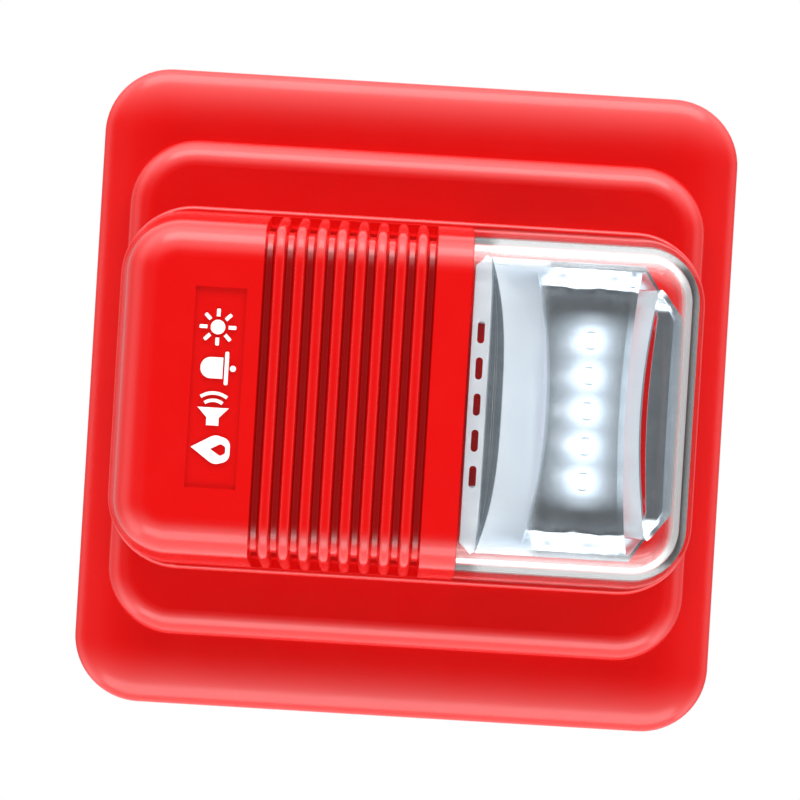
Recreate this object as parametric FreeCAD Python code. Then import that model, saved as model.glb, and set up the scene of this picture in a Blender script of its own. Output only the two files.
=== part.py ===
import FreeCAD, Part
import os
from math import acos, pi, sin, tan

# Wall-mounted horn strobe, millimetres.
#
# Every piece is first modelled lying on its back: x is to the right, y is up the wall and z is the
# distance from the wall. hang() then stands it up: the wall plane becomes Y = 0, the front faces -Y
# and +Z is up. The origin is the centre of the back of the mounting plate.

V = FreeCAD.Vector
X_AXIS = V(1, 0, 0)
Z_AXIS = V(0, 0, 1)

# ---- flange, step and body of the housing --------------------------------------------------
FLANGE_HALF = 60.0
FLANGE_CORNER = 12.5
SKIRT_FOOT = 0.6            # shadow gap between the skirt and the wall
ROLL_WIDTH = 12.0           # the flange rolls off over this width ...
ROLL_DROP = 4.0             # ... and this depth, as a quarter of an ellipse
FLANGE_TOP = 11.0
SHELL = 2.2                 # wall thickness of the moulded shells

TIER_HALF_X = 54.2
TIER_HALF_Y = 46.6
TIER_CORNER = 12.75
TIER_ROUND = 5.0
TIER_TOP = 19.0

PLINTH_HALF_X = 54.4
PLINTH_HALF_Y = 33.8
PLINTH_CORNER = 13.5
PLINTH_TOP = 20.5
PLINTH_ROUND = 0.8

BODY_INSET_X = 0.2          # ledge between the plinth's edge and the foot of the body wall
BODY_INSET_Y = 1.0
BODY_DRAFT = 0.12           # inward lean of the body wall per millimetre of depth
BODY_ROUND = 7.0
BODY_TOP = 48.0
BODY_SHELL = 2.6

WINDOW_HALF_X = 50.4        # window in the middle step that takes the front cover's rim
WINDOW_HALF_Y = 31.0
WINDOW_CORNER = 9.0
WINDOW_FIT = 0.2

# ---- ribs and sound slots ------------------------------------------------------------------------
GROOVES = 9
GROOVE_PITCH = 3.63
GROOVE_MOUTH = 1.9
GROOVE_FLOOR = 1.3
GROOVE_DEPTH = 1.6
RIDGE_ROUND = 0.85          # rounding of the ridges between the grooves
RIDGE_DROP = 0.03           # the ridges' tops lie this far below the front
GROOVES_LEFT = -27.8
GROOVES_FOOT = 22.5
SOUND_SLOT_WIDTH = 1.2
SOUND_SLOT_Z = (29.0, 38.0)

# ---- label recess --------------------------------------------------------------------------------
LABEL_X = (-38.7, -29.6)
LABEL_Y = (-17.8, 18.2)
LABEL_DEPTH = 0.6
LABEL_INK = 0.35
SYMBOL_PITCH = 7.3
SYMBOL_CENTRE = V(-34.4, 0.1, 0)

# ---- lens, reflector and light -------------------------------------------------------------------
LENS_LEFT = 10.4
LENS_WALL = 2.4
LENS_GAP = 0.1
BULKHEAD = 2.2
LENS_FLOOR_TOP = 22.5
LENS_FLOOR = 2.0
LENS_FLOOR_GAP = 0.4        # between the lens and the raised floor inside it

REFLECTOR_X = (11.0, 47.8)
REFLECTOR_HALF_Y = 26.3
REFLECTOR_CHAMFER = (6.4, 9.0)
REFLECTOR_TOP = 43.5
REFLECTOR_RIM = 1.2
BOWL_MOUTH = (17.2, 42.0, 25.0)     # left, right, half height
BOWL_FLOOR = (24.6, 40.4, 22.0)
BOWL_FLOOR_Z = 26.5
BOWL_SKIN = 1.0
LIGHT_X = 33.2
LIGHTS = 5
LIGHT_PITCH = 6.5
LIGHT_BOARD_X = (20.0, 43.0)
LIGHT_BOARD_HALF_Y = 21.0
LIGHT_BOARD_Z = 24.5
HEADER_X = 27.0

# ---- sound unit ----------------------------------------------------------------------------------
SOUND_X = -12.0
CHAMBER_HALF_X = 16.4
CHAMBER_HALF_Y = 27.0
CHAMBER_BACK = 27.0
CHAMBER_SKIN = 1.6
PIEZO_R = 13.5
PIEZO_CERAMIC_R = 10.0
CHAMBER_POSTS = ((-33.0, 14.0), (-33.0, -14.0))

# ---- main board ----------------------------------------------------------------------------------
BOARD_HALF_X = 48.0
BOARD_HALF_Y = 29.0
BOARD_BACK = 15.0
BOARD = 1.6
BOARD_FRONT = BOARD_BACK + BOARD
BOARD_POSTS = ((-43.0, 23.0), (-43.0, -23.0), (43.0, 23.0), (43.0, -23.0))
DIP_CENTRE = V(-8.0, 8.0, 0)
DIP_HALF = V(5.8, 3.1, 0)
DIP_DEPTH = 3.2
DIP_PITCH = 2.54
DIP_TRAVEL = 2.0
DIP_WAYS = 4

# ---- rear cover and mounting plate ---------------------------------------------------------------
COVER_HALF = 54.0
COVER_BACK = 5.0
COVER = 2.0
COVER_SCREWS = ((-46.0, 38.5), (-46.0, -38.5), (46.0, 38.5), (46.0, -38.5))
POCKET_X = (-24.0, 24.0)
POCKET_Y = (-33.0, 17.0)
POCKET_TOP = 14.2
POCKET_SKIN = 1.2
PEGS = ((-38.0, 22.0), (38.0, 22.0))
PEG_R = 2.5
PEG_FIT = 0.1

PLATE_HALF = 57.0
PLATE = 2.5
PLATE_RIM_TOP = 4.2
PLATE_RIM = 2.0
BOX_SPACING = 60.3          # screw spacing of square and round wall boxes
GANG_SPACING = 83.3         # screw spacing of single-gang boxes
SLOT_R = 2.2
SLOT_LENGTH = 8.0
CABLE_Y = 2.0
CABLE_R = 11.0
ARM_X = 48.0
ARM = 1.4
ARM_HALF_Y = 5.0
ARM_TOP = 10.5
ARM_BARB = 0.6

# ---- terminals -----------------------------------------------------------------------------------
WAYS = 4
WAY_PITCH = 9.0
BLOCK_HALF_X = 19.0
BLOCK_Y = (-31.0, -14.5)
BLOCK_TOP = 12.4
SCREW_Y = -20.0
BLADE_Y = -27.0
CAGE_HALF = 2.9
CAGE_Z = (5.2, 10.4)
CAGE_FLOOR = 1.0
CAGE_ROOF = 1.2
CAGE_SIDE = 0.9
BAR_Z = (6.4, 7.2)
TERMINAL_THREAD_R = 1.45
TERMINAL_FIT = 0.05
TERMINAL_HEAD_R = 2.6

SCREW_R = 1.1
PILOT_R = 1.15
SCREW_HEAD_R = 2.6
SCREW_HEAD = 1.8


# ==== shapes that several pieces use ==============================================================

def box(x0, x1, y0, y1, z0, z1):
    return Part.makeBox(x1 - x0, y1 - y0, z1 - z0, V(x0, y0, z0))


def rod(x, y, z0, z1, radius):
    return Part.makeCylinder(radius, z1 - z0, V(x, y, z0))


def fuse(shapes):
    return shapes[0].multiFuse(shapes[1:]).removeSplitter()


def cut(shape, tools):
    return shape.cut(Part.makeCompound(list(tools)))


def rounded_wire(corners):
    """A closed wire in the XY plane through (x, y, radius) corners, each rounded by its radius."""
    places = [V(x, y, 0) for x, y, _ in corners]
    starts, ends, middles = [], [], []
    for i, (_, _, radius) in enumerate(corners):
        here = places[i]
        back = (places[i - 1] - here).normalize()
        ahead = (places[(i + 1) % len(places)] - here).normalize()
        half = acos(max(-1.0, min(1.0, back.dot(ahead)))) / 2
        reach = radius / tan(half)
        starts.append(here + back * reach)
        ends.append(here + ahead * reach)
        inward = (back + ahead).normalize() if radius else V()
        middles.append(here + inward * (radius / sin(half) - radius))
    edges = []
    for i, (_, _, radius) in enumerate(corners):
        if radius:
            edges.append(Part.Arc(starts[i], middles[i], ends[i]).toShape())
        following = starts[(i + 1) % len(corners)]
        if (following - ends[i]).Length > 1e-6:
            edges.append(Part.LineSegment(ends[i], following).toShape())
    return Part.Wire(edges)


def plate_of(corners, z0, z1):
    """A flat plate with a rounded outline, between two depths."""
    face = Part.Face(rounded_wire(corners))
    return face.translated(V(0, 0, z0)).extrude(V(0, 0, z1 - z0))


def rounded_plate(half_x, half_y, radius, z0, z1):
    corners = [(half_x, -half_y, radius), (half_x, half_y, radius),
               (-half_x, half_y, radius), (-half_x, -half_y, radius)]
    return plate_of(corners, z0, z1)


def upright(wire):
    """Turns a wire drawn in the XY plane into the XZ plane, as the section of a tier."""
    return Part.Face(wire.rotated(V(), X_AXIS, 90))


def tier(half_x, half_y, corner, section):
    """A rounded-rectangle block. Its sides and corners all have one section, from the corner's own
    axis at x = 0 out to x = corner."""
    cx = half_x - corner
    cy = half_y - corner
    bottom = section.BoundBox.ZMin
    top = section.BoundBox.ZMax
    centres = [V(cx, -cy, 0), V(cx, cy, 0), V(-cx, cy, 0), V(-cx, -cy, 0)]
    pieces = [box(-cx, cx, -cy, cy, bottom, top)]
    for quarter in range(4):
        start = centres[quarter]
        end = centres[(quarter + 1) % 4]
        turned = section.rotated(V(), Z_AXIS, 90 * quarter)
        pieces.append(turned.translated(start).extrude(end - start))
        pieces.append(turned.translated(end).revolve(end, Z_AXIS, 90))
    return fuse(pieces)


def self_tapping_screw(x, y, seat, length):
    """A pan-head screw driven away from the wall, with a cross recess."""
    head = rod(x, y, seat - SCREW_HEAD, seat, SCREW_HEAD_R)
    shank = rod(x, y, seat, seat + length, SCREW_R)
    recess = [box(x - 1.6, x + 1.6, y - 0.3, y + 0.3, seat - SCREW_HEAD, seat - SCREW_HEAD + 1.0),
              box(x - 0.3, x + 0.3, y - 1.6, y + 1.6, seat - SCREW_HEAD, seat - SCREW_HEAD + 1.0)]
    return cut(fuse([head, shank]), recess)


def lead(places, bend, radius):
    """A round wire along straight runs joined by tangent arcs."""
    edges = []
    start = places[0]
    for before, here, after in zip(places, places[1:], places[2:]):
        back = (before - here).normalize()
        ahead = (after - here).normalize()
        half = acos(back.dot(ahead)) / 2
        reach = bend / tan(half)
        middle = here + (back + ahead).normalize() * (bend / sin(half) - bend)
        edges.append(Part.LineSegment(start, here + back * reach).toShape())
        edges.append(Part.Arc(here + back * reach, middle, here + ahead * reach).toShape())
        start = here + ahead * reach
    edges.append(Part.LineSegment(start, places[-1]).toShape())
    ring = Part.Wire(Part.makeCircle(radius, places[0], places[1] - places[0]))
    return Part.Wire(edges).makePipeShell([ring], True, False)


# ==== base housing and front cover ===============================================================================

def flange_outside():
    shoulder = FLANGE_TOP - ROLL_DROP
    inner = FLANGE_CORNER - ROLL_WIDTH
    ellipse = Part.Ellipse(V(inner, shoulder, 0), ROLL_WIDTH, ROLL_DROP)
    roll = Part.ArcOfEllipse(ellipse, 0, pi / 2).toShape()
    corners = [V(inner, FLANGE_TOP, 0), V(0, FLANGE_TOP, 0), V(0, SKIRT_FOOT, 0),
               V(FLANGE_CORNER, SKIRT_FOOT, 0), V(FLANGE_CORNER, shoulder, 0)]
    lines = [Part.LineSegment(a, b).toShape() for a, b in zip(corners, corners[1:])]
    section = upright(Part.Wire([roll] + lines))
    return tier(FLANGE_HALF, FLANGE_HALF, FLANGE_CORNER, section)


def flange_inside():
    corner = FLANGE_CORNER - SHELL
    ceiling = FLANGE_TOP - SHELL
    section = upright(rounded_wire([(0, SKIRT_FOOT, 0), (corner, SKIRT_FOOT, 0), (corner, COVER_BACK, 0),
                                    (corner - 5.8, ceiling, 0), (0, ceiling, 0)]))
    return tier(FLANGE_HALF - SHELL, FLANGE_HALF - SHELL, corner, section)


def tier_form(inset, foot):
    corner = TIER_CORNER - inset
    top = TIER_TOP - inset
    section = upright(rounded_wire([(0, foot, 0), (corner, foot, 0),
                                    (corner - 0.5, top, TIER_ROUND - inset), (0, top, 0)]))
    return tier(TIER_HALF_X - inset, TIER_HALF_Y - inset, corner, section)


def plinth():
    section = upright(rounded_wire([(0, TIER_TOP, 0), (PLINTH_CORNER, TIER_TOP, 0),
                                    (PLINTH_CORNER, PLINTH_TOP, PLINTH_ROUND), (0, PLINTH_TOP, 0)]))
    return tier(PLINTH_HALF_X, PLINTH_HALF_Y, PLINTH_CORNER, section)


def body_form(inset, foot):
    """The rounded body that the red part and the lens share, or the same form inset all round."""
    corner = PLINTH_CORNER - BODY_INSET_Y - inset
    top = BODY_TOP - inset
    foot_x = corner - BODY_DRAFT * (foot - PLINTH_TOP)
    top_x = corner - BODY_DRAFT * (top - PLINTH_TOP)
    section = upright(rounded_wire([(0, foot, 0), (foot_x, foot, 0),
                                    (top_x, top, BODY_ROUND - inset), (0, top, 0)]))
    half_x = PLINTH_HALF_X - BODY_INSET_X - inset
    half_y = PLINTH_HALF_Y - BODY_INSET_Y - inset
    return tier(half_x, half_y, corner, section)


def left_of(x):
    return box(-70, x, -70, 70, -5, 60)


def right_of(x):
    return box(x, 70, -70, 70, -5, 60)


def groove_centres():
    return [GROOVES_LEFT + GROOVE_PITCH * (i + 0.5) for i in range(GROOVES)]


def body_wall_y(z):
    return PLINTH_HALF_Y - BODY_INSET_Y - BODY_DRAFT * (z - PLINTH_TOP)


def groove_path():
    """Up the body's lower side wall, across its front and down the upper one, in the plane x = 0."""
    foot = body_wall_y(GROOVES_FOOT)
    top = body_wall_y(BODY_TOP)
    outline = rounded_wire([(-foot, GROOVES_FOOT, 0), (-top, BODY_TOP, BODY_ROUND),
                            (top, BODY_TOP, BODY_ROUND), (foot, GROOVES_FOOT, 0)])
    open_edges = [edge for edge in outline.Edges if edge.BoundBox.YMax > GROOVES_FOOT + 1e-6]
    path = Part.Wire(Part.__sortEdges__(open_edges))
    return path.rotated(V(), Z_AXIS, 90).rotated(V(), V(0, 1, 0), 90)


def groove_profile():
    """All the grooves side by side, as (across, height) corners with their rounding."""
    mouth = GROOVE_MOUTH / 2
    floor = GROOVE_FLOOR / 2
    over = 0.6
    centres = groove_centres()
    corners = [(centres[0] - mouth - 0.1, over, 0)]
    for x in centres:
        if x != centres[0]:
            corners.append((x - mouth, -RIDGE_DROP, RIDGE_ROUND))
        corners.append((x - floor, -GROOVE_DEPTH, 0.45))
        corners.append((x + floor, -GROOVE_DEPTH, 0.45))
        if x != centres[-1]:
            corners.append((x + mouth, -RIDGE_DROP, RIDGE_ROUND))
    corners.append((centres[-1] + mouth + 0.1, over, 0))
    return corners


def groove_cutters():
    """The grooves' profile, swept square to the path from its first end to its last."""
    path = groove_path()
    wall = path.Vertexes[0].Point
    along = (path.Vertexes[1].Point - wall).normalize()
    outward = V(0, -along.z, along.y) if wall.y < 0 else V(0, along.z, -along.y)
    turn = FreeCAD.Matrix(1, 0, 0, wall.x, 0, outward.y, along.y, wall.y, 0, outward.z, along.z, wall.z)
    section = rounded_wire(groove_profile()).transformGeometry(turn)
    return path.makePipeShell([section], True, True)


def sound_slots():
    low, high = SOUND_SLOT_Z
    half = SOUND_SLOT_WIDTH / 2
    return [box(x - half, x + half, min(side * 26, side * 36), max(side * 26, side * 36), low, high)
            for x in groove_centres() for side in (-1, 1)]


def lens_floor():
    """The raised red floor that stands inside the lens and locates it."""
    form = body_form(LENS_WALL + LENS_FLOOR_GAP, TIER_TOP)
    return form.common(box(LENS_LEFT - 1, 70, -40, 40, TIER_TOP, LENS_FLOOR_TOP))


def light_board_posts():
    return [(x, y) for x in (LIGHT_BOARD_X[0] + 3, LIGHT_BOARD_X[1] - 3) for y in (-18.0, 18.0)]


def base_housing():
    """The square flange and the middle step, as one shell with a window for the front cover."""
    outside = fuse([flange_outside(), tier_form(0, FLANGE_TOP - 1)])
    inside = fuse([flange_inside(), tier_form(SHELL, SKIRT_FOOT)])
    window = rounded_plate(WINDOW_HALF_X, WINDOW_HALF_Y, WINDOW_CORNER, TIER_TOP - SHELL - 1, TIER_TOP + 1)
    bosses = [rod(x, y, COVER_BACK + COVER, TIER_TOP - SHELL + 0.6, 3.2) for x, y in COVER_SCREWS]
    pilots = [rod(x, y, COVER_BACK, TIER_TOP - SHELL - 0.6, PILOT_R) for x, y in COVER_SCREWS]
    return cut(fuse([cut(outside.cut(inside), [window])] + bosses), pilots)


def spigot():
    """The rim of the front cover that drops into the window, with hooks that hold behind its edge."""
    half_x = WINDOW_HALF_X - WINDOW_FIT
    half_y = WINDOW_HALF_Y - WINDOW_FIT
    rim = rounded_plate(half_x, half_y, WINDOW_CORNER, BOARD_FRONT + 0.4, TIER_TOP + 0.5)
    hooks = []
    for x in (-30.0, 0.0, 30.0):
        for side in (-1, 1):
            leg = sorted((side * (half_y - 0.8), side * half_y))
            barb = sorted((side * (half_y - 0.8), side * (half_y + 0.8)))
            hooks.append(box(x - 4, x + 4, *leg, BOARD_FRONT - 1.4, TIER_TOP))
            hooks.append(box(x - 4, x + 4, *barb, BOARD_FRONT - 1.4, TIER_TOP - SHELL - 0.1))
    return [rim] + hooks


def cover_posts():
    posts = [rod(x, y, BOARD_FRONT, BODY_TOP - BODY_SHELL + 0.5, 2.8) for x, y in BOARD_POSTS if x < 0]
    posts += [rod(x, y, BOARD_FRONT, LENS_FLOOR_TOP - 0.5, 2.8) for x, y in BOARD_POSTS if x > 0]
    posts += [rod(x, y, CHAMBER_BACK + 2, BODY_TOP - BODY_SHELL + 0.5, 2.6) for x, y in CHAMBER_POSTS]
    posts += [rod(x, y, LENS_FLOOR_TOP - 0.5, LIGHT_BOARD_Z, 2.4) for x, y in light_board_posts()]
    return posts


def cover_pilots():
    holes = [rod(x, y, BOARD_BACK, BOARD_FRONT + 5.0, PILOT_R) for x, y in BOARD_POSTS]
    return holes + [rod(x, y, CHAMBER_BACK, CHAMBER_BACK + 9, PILOT_R) for x, y in CHAMBER_POSTS]


def front_cover():
    """The ribbed body on its plinth, with the floor that the light stands on under the lens."""
    outside = fuse([plinth(), body_form(0, PLINTH_TOP - 0.5).common(left_of(LENS_LEFT)), lens_floor()]
                   + spigot())
    low_inside = rounded_plate(WINDOW_HALF_X - WINDOW_FIT - 1.6, WINDOW_HALF_Y - WINDOW_FIT - 1.6,
                               WINDOW_CORNER - 1.6, BOARD_BACK, LENS_FLOOR_TOP - LENS_FLOOR)
    body_inside = body_form(BODY_SHELL, PLINTH_TOP - 0.5).common(left_of(LENS_LEFT - BULKHEAD))
    recess = box(*LABEL_X, *LABEL_Y, BODY_TOP - LABEL_DEPTH, BODY_TOP + 1)
    header_window = box(HEADER_X - 2, HEADER_X + 2, -6, 6, LENS_FLOOR_TOP - 4, LENS_FLOOR_TOP + 1)
    shell = cut(outside, [low_inside, body_inside, recess, header_window])
    shell = shell.cut(groove_cutters()).cut(Part.makeCompound(sound_slots()))
    return cut(fuse([shell] + cover_posts()), cover_pilots())


# ==== label =======================================================================================

def flame_symbol():
    outer = Part.Face(rounded_wire([(0.3, 3.6, 0), (2.7, -0.6, 2.0), (1.9, -3.4, 1.6),
                                    (-1.9, -3.4, 1.6), (-2.7, -0.6, 2.0)]))
    inner = Part.Face(rounded_wire([(0.1, 0.1, 0), (1.1, -1.7, 0.6), (0.6, -2.6, 0.5),
                                    (-0.6, -2.6, 0.5), (-1.1, -1.7, 0.6)]))
    return [outer.cut(inner)]


def arc_band(radius, width):
    ring = Part.Face(Part.Wire(Part.makeCircle(radius + width)))
    ring = ring.cut(Part.Face(Part.Wire(Part.makeCircle(radius))))
    wedge = Part.Face(Part.makePolygon([V(), V(9, 6.3, 0), V(9, -6.3, 0), V()]))
    return ring.common(wedge)


def horn_symbol():
    cone = Part.Face(rounded_wire([(-3.0, -1.1, 0), (-1.6, -1.1, 0), (0.2, -2.8, 0), (0.2, 2.8, 0),
                                   (-1.6, 1.1, 0), (-3.0, 1.1, 0)]))
    waves = [arc_band(radius, 0.6).translated(V(-1.3, 0, 0)) for radius in (2.5, 3.8)]
    return [cone] + waves


def bell_symbol():
    dome = Part.Face(rounded_wire([(-1.9, -1.3, 0), (1.9, -1.3, 0), (1.9, 2.7, 1.85), (-1.9, 2.7, 1.85)]))
    brim = Part.Face(rounded_wire([(-3.0, -2.3, 0.3), (3.0, -2.3, 0.3), (3.0, -1.6, 0.3), (-3.0, -1.6, 0.3)]))
    clapper = Part.Face(Part.Wire(Part.makeCircle(0.55, V(0, -3.1, 0))))
    return [dome, brim, clapper]


def burst_symbol():
    disc = Part.Face(Part.Wire(Part.makeCircle(1.3)))
    ray = Part.Face(rounded_wire([(1.9, -0.33, 0), (3.3, -0.33, 0.2), (3.3, 0.33, 0.2), (1.9, 0.33, 0)]))
    return [disc] + [ray.rotated(V(), Z_AXIS, 45 * i) for i in range(8)]


def label_marks():
    """Four plain signs in a column that reads upwards: flame, sounder, bell and flash."""
    solids = []
    for i, faces in enumerate([flame_symbol(), horn_symbol(), bell_symbol(), burst_symbol()]):
        place = SYMBOL_CENTRE + V(0, SYMBOL_PITCH * (i - 1.5), BODY_TOP - LABEL_DEPTH)
        for face in faces:
            solids.append(face.rotated(V(), Z_AXIS, 90).translated(place).extrude(V(0, 0, LABEL_INK)))
    return Part.makeCompound(solids)


# ==== lens, reflector and light ===================================================================

def lens():
    shell = body_form(0, PLINTH_TOP).cut(body_form(LENS_WALL, PLINTH_TOP - 1))
    return shell.common(right_of(LENS_LEFT + LENS_GAP))


def bowl_block(mouth, floor, top, bottom, grow):
    wires = []
    for (left, right, half_y), z in ((mouth, top), (floor, bottom)):
        places = [V(left - grow, -half_y - grow, z), V(right + grow, -half_y - grow, z),
                  V(right + grow, half_y + grow, z), V(left - grow, half_y + grow, z)]
        wires.append(Part.makePolygon(places + places[:1]))
    return Part.makeLoft(wires, True, True)


def reflector():
    left, right = REFLECTOR_X
    half = REFLECTOR_HALF_Y
    slant_x, slant_y = REFLECTOR_CHAMFER
    rim = plate_of([(left, -half, 1.5), (right - slant_x, -half, 3), (right, -half + slant_y, 3),
                    (right, half - slant_y, 3), (right - slant_x, half, 3), (left, half, 1.5)],
                   REFLECTOR_TOP - REFLECTOR_RIM, REFLECTOR_TOP)
    skin = bowl_block(BOWL_MOUTH, BOWL_FLOOR, REFLECTOR_TOP, BOWL_FLOOR_Z, BOWL_SKIN)
    legs = [rod(x, y, LENS_FLOOR_TOP, REFLECTOR_TOP - REFLECTOR_RIM + 0.2, 1.4)
            for x in (13.0, 45.8) for y in (-16.0, 16.0)]
    hollow = bowl_block(BOWL_MOUTH, BOWL_FLOOR, REFLECTOR_TOP + 0.01, BOWL_FLOOR_Z + BOWL_SKIN, 0)
    window = box(LIGHT_X - 3.2, LIGHT_X + 3.2, -16.5, 16.5, BOWL_FLOOR_Z - 1, BOWL_FLOOR_Z + 2)
    slots = [plate_of([(13.4, y - 1.9, 0.65), (14.8, y - 1.9, 0.65), (14.8, y + 1.9, 0.65),
                       (13.4, y + 1.9, 0.65)], REFLECTOR_TOP - 2, REFLECTOR_TOP + 1)
             for y in light_heights()]
    return cut(fuse([rim, skin] + legs), [hollow, window] + slots)


def light_heights():
    return [LIGHT_PITCH * (i - (LIGHTS - 1) / 2) for i in range(LIGHTS)]


def led_board():
    board = box(*LIGHT_BOARD_X, -LIGHT_BOARD_HALF_Y, LIGHT_BOARD_HALF_Y,
                LIGHT_BOARD_Z, LIGHT_BOARD_Z + BOARD)
    return cut(board, [rod(HEADER_X, y, LIGHT_BOARD_Z - 1, LIGHT_BOARD_Z + BOARD + 1, 0.55)
                       for y in header_pins()])


def leds():
    base = LIGHT_BOARD_Z + BOARD
    packages = []
    for y in light_heights():
        package = box(LIGHT_X - 1.75, LIGHT_X + 1.75, y - 1.4, y + 1.4, base, base + 1.1)
        packages.append(package.makeChamfer(0.25, package.Faces[5].Edges))
    return Part.makeCompound(packages)


def header_pins():
    return [-3.81, -1.27, 1.27, 3.81]


def led_pin_header():
    pin = 0.32
    base = box(HEADER_X - 1.27, HEADER_X + 1.27, -5.08, 5.08, BOARD_FRONT, BOARD_FRONT + 2.5)
    pins = [box(HEADER_X - pin, HEADER_X + pin, y - pin, y + pin, BOARD_FRONT, LIGHT_BOARD_Z + BOARD + 0.2)
            for y in header_pins()]
    return fuse([base] + pins)


# ==== sound unit ==================================================================================

def sound_chamber():
    """A tray behind the ribs. Its top and bottom ends are open, towards the sound slots."""
    left = SOUND_X - CHAMBER_HALF_X
    right = SOUND_X + CHAMBER_HALF_X
    front = BODY_TOP - BODY_SHELL - 0.2
    block = box(left, right, -CHAMBER_HALF_Y, CHAMBER_HALF_Y, CHAMBER_BACK, front)
    # the body's front edges are rounded inside too
    block = block.common(body_form(BODY_SHELL + 0.2, PLINTH_TOP))
    hollow = box(left + CHAMBER_SKIN, right - CHAMBER_SKIN, -CHAMBER_HALF_Y - 1, CHAMBER_HALF_Y + 1,
                 CHAMBER_BACK + CHAMBER_SKIN, front + 1)
    mouth = rod(SOUND_X, 0, CHAMBER_BACK - 1, CHAMBER_BACK + 3, PIEZO_R - 1.5)
    tray = cut(block, [hollow, mouth])
    seat = rod(SOUND_X, 0, CHAMBER_BACK - 2.6, CHAMBER_BACK, PIEZO_R + 1.5)
    seat = seat.cut(rod(SOUND_X, 0, CHAMBER_BACK - 3, CHAMBER_BACK + 1, PIEZO_R + 0.1))
    lugs = [box(CHAMBER_POSTS[0][0] - 3, left + 0.5, y - 3, y + 3, CHAMBER_BACK, CHAMBER_BACK + 2)
            for _, y in CHAMBER_POSTS]
    holes = [rod(x, y, CHAMBER_BACK - 1, CHAMBER_BACK + 3, 1.4) for x, y in CHAMBER_POSTS]
    return cut(fuse([tray, seat] + lugs), holes)


def ring(z0, z1, outer, inner):
    return rod(SOUND_X, 0, z0, z1, outer).cut(rod(SOUND_X, 0, z0 - 1, z1 + 1, inner))


def piezo_gasket():
    return ring(CHAMBER_BACK - 0.8, CHAMBER_BACK, PIEZO_R, PIEZO_R - 1.5)


def piezo_plate():
    return rod(SOUND_X, 0, CHAMBER_BACK - 1.2, CHAMBER_BACK - 0.8, PIEZO_R)


def piezo_ceramic():
    return rod(SOUND_X, 0, CHAMBER_BACK - 1.5, CHAMBER_BACK - 1.2, PIEZO_CERAMIC_R)


def piezo_ring():
    return ring(CHAMBER_BACK - 2.6, CHAMBER_BACK - 1.2, PIEZO_R, PIEZO_R - 1.8)


def piezo_leads():
    """One lead to the brass, one to the ceramic, each with a slack bend down to the board."""
    leads = []
    for y, drop, side in ((-11.0, CHAMBER_BACK - 1.2, 1), (8.0, CHAMBER_BACK - 1.5, -1)):
        x = SOUND_X
        leads.append(lead([V(x, y, drop), V(x, y, drop - 3.6), V(x + 3.4 * side, y, drop - 5.2),
                           V(x + 3.4 * side, y, BOARD_FRONT)], 1.4, 0.45))
    return Part.makeCompound(leads)


def chamber_screws():
    return Part.makeCompound([self_tapping_screw(x, y, CHAMBER_BACK, 7) for x, y in CHAMBER_POSTS])


# ==== main board ==================================================================================

def main_board():
    board = rounded_plate(BOARD_HALF_X, BOARD_HALF_Y, 2.0, BOARD_BACK, BOARD_FRONT)
    return cut(board, [rod(x, y, BOARD_BACK - 1, BOARD_FRONT + 1, 1.5) for x, y in BOARD_POSTS])


def board_screws():
    """The two screws by the light board are shorter, because its posts are short."""
    return Part.makeCompound([self_tapping_screw(x, y, BOARD_BACK, 6 if x < 0 else 5)
                              for x, y in BOARD_POSTS])


def capacitors():
    """Three aluminium electrolytic capacitors with the rolled groove near the foot."""
    cans = []
    for x, y, radius, height in ((-40.0, 5.6, 5.0, 16.0), (-40.0, -5.2, 4.0, 11.5), (-27.5, 22.0, 3.2, 7.0)):
        can = rod(x, y, BOARD_FRONT, BOARD_FRONT + height, radius)
        can = can.makeFillet(0.5, [can.Edges[0]])
        groove = Part.makeTorus(radius + 0.25, 0.5, V(x, y, BOARD_FRONT + 2.0))
        cans.append(can.cut(groove))
    return Part.makeCompound(cans)


def inductor():
    core = rod(-22.0, -19.0, BOARD_FRONT, BOARD_FRONT + 5.5, 4.2)
    waist = Part.makeTorus(4.9, 1.4, V(-22.0, -19.0, BOARD_FRONT + 2.75))
    return core.cut(waist)


def transformer():
    """The step-up transformer that drives the sounder: a bobbin between two core halves."""
    bobbin = box(-6, 4, -24, -15, BOARD_FRONT, BOARD_FRONT + 7)
    core = box(-7.5, 5.5, -21.5, -17.5, BOARD_FRONT + 0.8, BOARD_FRONT + 7.8)
    return fuse([bobbin, core])


def chip(x, y, half_x, half_y, height):
    """A small moulded package with a row of feet on its two long sides."""
    body = box(x - half_x, x + half_x, y - half_y, y + half_y, BOARD_FRONT + 0.2, BOARD_FRONT + height)
    feet = []
    count = max(2, int(2 * half_x / 1.27))
    for i in range(count):
        foot_x = x + (i - (count - 1) / 2) * 1.27
        feet.append(box(foot_x - 0.2, foot_x + 0.2, y - half_y - 1, y + half_y + 1,
                        BOARD_FRONT, BOARD_FRONT + 0.4))
    return fuse([body] + feet)


def chips():
    return Part.makeCompound([chip(-12, 18, 2.5, 2.0, 1.6), chip(14, -14, 2.5, 2.0, 1.6),
                              chip(36, 0, 3.2, 2.2, 2.2)])


def small_parts():
    """Chip resistors, ceramic capacitors and the two input diodes."""
    parts = []
    for column in range(4):
        for row in range(3):
            x = 14.0 + column * 3.4
            y = 14.0 + row * 4.0
            parts.append(box(x - 0.65, x + 0.65, y - 1.0, y + 1.0, BOARD_FRONT, BOARD_FRONT + 0.6))
    for y in (-24.0, -19.0):
        parts.append(box(20.0, 24.3, y - 1.35, y + 1.35, BOARD_FRONT, BOARD_FRONT + 2.2))
    return Part.makeCompound(parts)


def dip_slider_x(way):
    return DIP_CENTRE.x + DIP_PITCH * (way - (DIP_WAYS - 1) / 2)


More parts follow.
